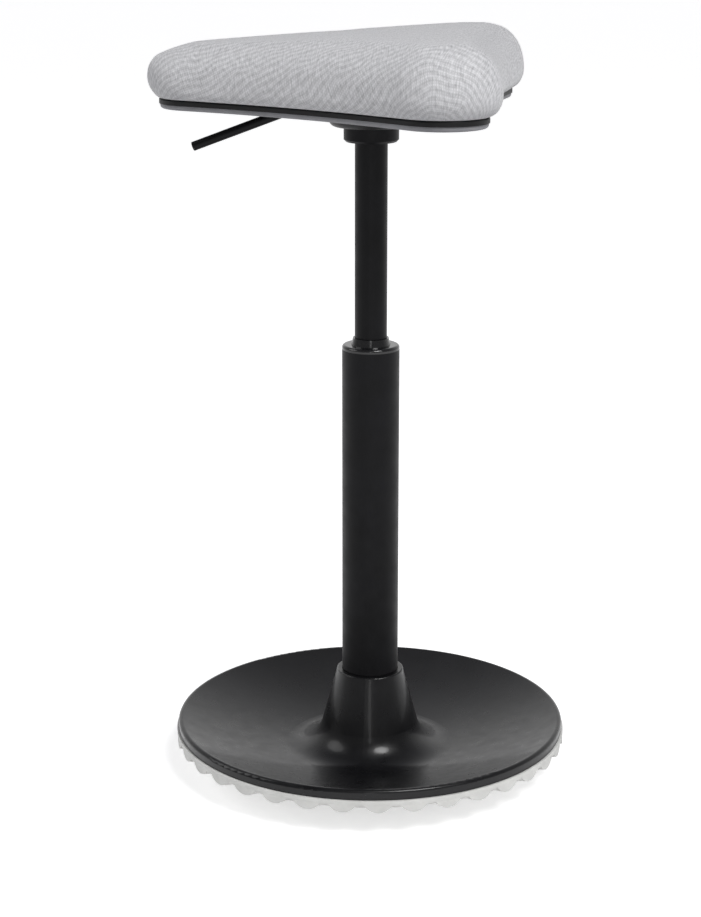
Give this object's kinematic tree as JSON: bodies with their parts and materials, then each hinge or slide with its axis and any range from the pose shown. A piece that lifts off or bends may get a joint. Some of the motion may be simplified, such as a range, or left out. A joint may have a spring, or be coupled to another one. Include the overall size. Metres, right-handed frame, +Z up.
{
  "type": "ergonomic stool",
  "caption": "Rocking height-adjustable stool: padded rounded-triangle seat on a black gas lift with release lever, in a glossy black dished round base with a pale ribbed rocker sole.",
  "frame": {"origin": "on the floor, under the column's axis, at the middle of the sole's flat foot", "axes": "+Z up along the column, -Y to the nose of the seat, which the release lever lies under, +X to the right of someone who sits facing -Y seen from behind"},
  "size_m": [0.35, 0.3675, 0.6533],
  "materials": {
    "seat_cloth": "woven polyester, matte",
    "seat_foam": "cut polyurethane foam",
    "seat_trim": "satin extruded strip",
    "pan_plastic": "fine moulded grain",
    "black_plastic": "smooth moulded",
    "base_gloss_black": "glossy powder coat",
    "column_black": "satin black paint",
    "sole_rubber": "matte moulded",
    "black_rubber": "matte moulded",
    "bright_steel": "turned or zinc plated",
    "mechanism_steel": "black electrocoat",
    "plywood": "sanded birch plywood",
    "valve_brass": "turned"
  },
  "bodies": {
    "base": {"sole": "sole_rubber", "tread_ribs": "sole_rubber", "weight_plate": "mechanism_steel", "sole_screws": "bright_steel", "column_socket": "mechanism_steel", "base_cover": "base_gloss_black", "outer_tube": "column_black", "tube_end_plate": "bright_steel", "guide_bush": "black_plastic", "lower_race": "bright_steel"},
    "ball_cage": {"ball_cage": "black_plastic", "bearing_balls": "bright_steel"},
    "piston_rod": {"piston_rod": "bright_steel", "rod_clip": "bright_steel", "rod_washer": "bright_steel", "bump_stop": "black_rubber", "piston": "valve_brass", "piston_ring": "black_rubber", "piston_nut": "bright_steel", "upper_race": "bright_steel"},
    "seat": {"gas_cylinder": "column_black", "rod_guide": "black_plastic", "rod_seal": "black_rubber", "valve_body": "valve_brass", "seat_socket": "column_black", "hub_cover": "black_plastic", "mechanism_plate": "mechanism_steel", "plate_bolts": "bright_steel", "plate_washers": "bright_steel", "tee_nuts": "bright_steel", "lever_ears": "mechanism_steel", "pivot_pin": "bright_steel", "pivot_clip": "bright_steel", "seat_board": "plywood", "seat_pan": "pan_plastic", "pan_screws": "bright_steel", "edge_trim": "seat_trim", "seat_foam": "seat_foam", "seat_cover": "seat_cloth"},
    "release_lever": {"release_lever": "column_black"},
    "release_pin": {"release_pin": "bright_steel"}
  },
  "joints": [
    {"name": "seat_swivel", "type": "hinge", "parent": "base", "child": "piston_rod", "pos_m": [0, 0, 0.024], "axis": [0, 0, 1], "continuous": true},
    {"name": "seat_lift", "type": "slide", "parent": "piston_rod", "child": "seat", "axis": [0, 0, 1], "range_m": [-0.14, 0.117]},
    {"name": "lever_lift", "type": "hinge", "parent": "seat", "child": "release_lever", "pos_m": [0, -0.026, 0.59925], "axis": [-1, 0, 0], "range_deg": [0, 7], "stiffness_Nm_per_rad": 6, "springref_deg": -5.73},
    {"name": "release_pin_press", "type": "slide", "parent": "seat", "child": "release_pin", "axis": [0, 0, -1], "range_m": [0, 0.0032]},
    {"name": "bearing_cage_turn", "type": "hinge", "parent": "base", "child": "ball_cage", "pos_m": [0, 0, 0.0235], "axis": [0, 0, 1], "continuous": true}
  ],
  "couplings": [
    {"joint": "release_pin_press", "follows": "lever_lift", "m_per_rad": 0.026},
    {"joint": "bearing_cage_turn", "follows": "seat_swivel", "ratio": 0.5}
  ]
}
